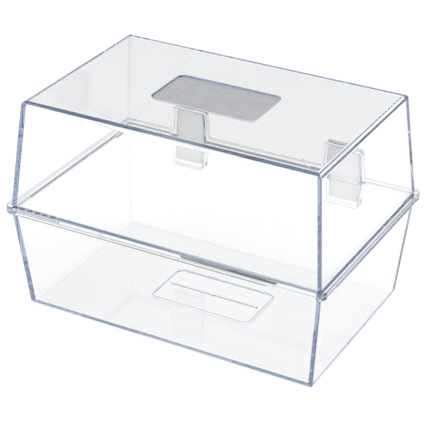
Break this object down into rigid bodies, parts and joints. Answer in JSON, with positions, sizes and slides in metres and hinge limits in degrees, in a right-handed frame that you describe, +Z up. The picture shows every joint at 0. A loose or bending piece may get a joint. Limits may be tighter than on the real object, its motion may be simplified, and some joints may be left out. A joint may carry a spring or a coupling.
{
  "type": "card file box",
  "caption": "Clear hinged-lid card file box: two flared tray shells meet rim to rim and join at the rear with plastic strap hinges; a label sits in the lid's recess.",
  "frame": {"origin": "centre of the base's underside, in the plane it stands on", "axes": "+X to the right along the long side, +Y to the hinge side at the rear, +Z up"},
  "size_m": [0.1754, 0.1181, 0.1144],
  "materials": {
    "clear_plastic": "gloss",
    "milky_plastic": "satin",
    "label": "satin"
  },
  "bodies": {
    "base": {"base_shell": "clear_plastic", "hinge_left_lower_leaf": "milky_plastic", "hinge_right_lower_leaf": "milky_plastic", "hinge_left_web": "milky_plastic", "hinge_right_web": "milky_plastic"},
    "lid": {"lid_shell": "clear_plastic", "hinge_left_upper_leaf": "milky_plastic", "hinge_right_upper_leaf": "milky_plastic", "label_plate": "label"}
  },
  "joints": [
    {"name": "lid_hinge", "type": "hinge", "parent": "base", "child": "lid", "pos_m": [0, 0.0593, 0.0572], "axis": [-1, 0, 0], "range_deg": [0, 180], "deforming": ["hinge_left_web", "hinge_right_web"]}
  ]
}
